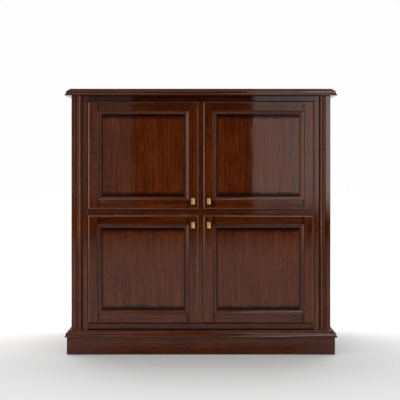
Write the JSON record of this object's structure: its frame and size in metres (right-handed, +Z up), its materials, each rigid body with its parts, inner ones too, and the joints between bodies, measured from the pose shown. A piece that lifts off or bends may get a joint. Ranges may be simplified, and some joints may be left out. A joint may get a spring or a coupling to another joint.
{
  "type": "computer desk",
  "caption": "Closed hideaway computer desk: a mahogany cabinet with panelled doors, reeded pilasters and a moulded plinth over a sliding keyboard tray.",
  "frame": {"origin": "on the floor, at the centre of the overall width and depth", "axes": "+X to the right of a person facing the doors, +Y to the back, +Z up"},
  "size_m": [1.17, 0.6, 1.144],
  "materials": {
    "mahogany_frame": "dark red-brown stained mahogany, clear gloss lacquer",
    "mahogany_panels": "dark red-brown stained mahogany, straight vertical grain, clear gloss lacquer",
    "mahogany_mouldings": "dark red-brown stained mahogany with darker glaze in the hollows",
    "interior_mahogany": "mahogany-veneered board, satin lacquer",
    "plain_softwood": "unfinished",
    "back_board": "thin stained board, matt",
    "aged_brass": "aged satin brass",
    "satin_brass": "satin",
    "zinc_steel": "bright zinc plate",
    "brown_plastic": "matt",
    "black_plastic": "matt"
  },
  "bodies": {
    "cabinet": {"base_moulding": "mahogany_mouldings", "bottom_board": "interior_mahogany", "bottom_rail": "mahogany_frame", "cabinet_runners": "zinc_steel", "cable_grommets": "black_plastic", "floor_glides": "black_plastic", "frame_hinge_leaves": "satin_brass", "frieze_rail": "mahogany_frame", "left_pilaster": "mahogany_frame", "lower_back_panel": "back_board", "lower_partitions": "interior_mahogany", "lower_shelves": "interior_mahogany", "magnetic_catches": "brown_plastic", "mid_rail": "mahogany_frame", "mid_shelf": "interior_mahogany", "monitor_deck": "interior_mahogany", "pigeonhole_shelves": "interior_mahogany", "plinth_blocks_and_stretcher": "plain_softwood", "plinth_boards": "mahogany_frame", "right_pilaster": "mahogany_frame", "shelf_pins": "zinc_steel", "side_panels": "mahogany_panels", "side_rails": "mahogany_frame", "side_stiles": "mahogany_frame", "sub_top": "interior_mahogany", "top_board": "mahogany_frame", "top_edge_moulding": "mahogany_mouldings", "upper_back_panel": "back_board", "upper_partitions": "interior_mahogany"},
    "upper_left_door": {"upper_left_door_closing_strip": "mahogany_frame", "upper_left_door_fittings": "satin_brass", "upper_left_door_knob": "aged_brass", "upper_left_door_panel": "mahogany_panels", "upper_left_door_panel_moulding": "mahogany_mouldings", "upper_left_door_rails": "mahogany_frame", "upper_left_door_stiles": "mahogany_frame"},
    "upper_right_door": {"upper_right_door_fittings": "satin_brass", "upper_right_door_knob": "aged_brass", "upper_right_door_panel": "mahogany_panels", "upper_right_door_panel_moulding": "mahogany_mouldings", "upper_right_door_rails": "mahogany_frame", "upper_right_door_stiles": "mahogany_frame"},
    "lower_left_door": {"lower_left_door_closing_strip": "mahogany_frame", "lower_left_door_fittings": "satin_brass", "lower_left_door_knob": "aged_brass", "lower_left_door_panel": "mahogany_panels", "lower_left_door_panel_moulding": "mahogany_mouldings", "lower_left_door_rails": "mahogany_frame", "lower_left_door_stiles": "mahogany_frame"},
    "lower_right_door": {"lower_right_door_fittings": "satin_brass", "lower_right_door_knob": "aged_brass", "lower_right_door_panel": "mahogany_panels", "lower_right_door_panel_moulding": "mahogany_mouldings", "lower_right_door_rails": "mahogany_frame", "lower_right_door_stiles": "mahogany_frame"},
    "runner_middles": {"middle_runners": "zinc_steel"},
    "keyboard_tray": {"keyboard_tray_board": "interior_mahogany", "keyboard_tray_cleats_and_stop": "interior_mahogany", "keyboard_tray_front": "mahogany_frame", "tray_runners": "zinc_steel"}
  },
  "joints": [
    {"name": "upper_left_door_hinge", "type": "hinge", "parent": "cabinet", "child": "upper_left_door", "pos_m": [-0.469, -0.2675, 0.85675], "axis": [0, 0, -1], "range_deg": [0, 110]},
    {"name": "upper_right_door_hinge", "type": "hinge", "parent": "cabinet", "child": "upper_right_door", "pos_m": [0.469, -0.2675, 0.85675], "axis": [0, 0, 1], "range_deg": [0, 110]},
    {"name": "lower_left_door_hinge", "type": "hinge", "parent": "cabinet", "child": "lower_left_door", "pos_m": [-0.469, -0.2675, 0.36625], "axis": [0, 0, -1], "range_deg": [0, 110]},
    {"name": "lower_right_door_hinge", "type": "hinge", "parent": "cabinet", "child": "lower_right_door", "pos_m": [0.469, -0.2675, 0.36625], "axis": [0, 0, 1], "range_deg": [0, 110]},
    {"name": "middle_runner_slide", "type": "slide", "parent": "cabinet", "child": "runner_middles", "axis": [0, -1, 0], "range_m": [0, 0.14]},
    {"name": "keyboard_tray_slide", "type": "slide", "parent": "cabinet", "child": "keyboard_tray", "axis": [0, -1, 0], "range_m": [0, 0.28]}
  ],
  "couplings": [
    {"joint": "upper_right_door_hinge", "follows": "upper_left_door_hinge", "ratio": 1},
    {"joint": "keyboard_tray_slide", "follows": "upper_left_door_hinge", "m_per_rad": 0.14584},
    {"joint": "middle_runner_slide", "follows": "upper_left_door_hinge", "m_per_rad": 0.07292}
  ]
}
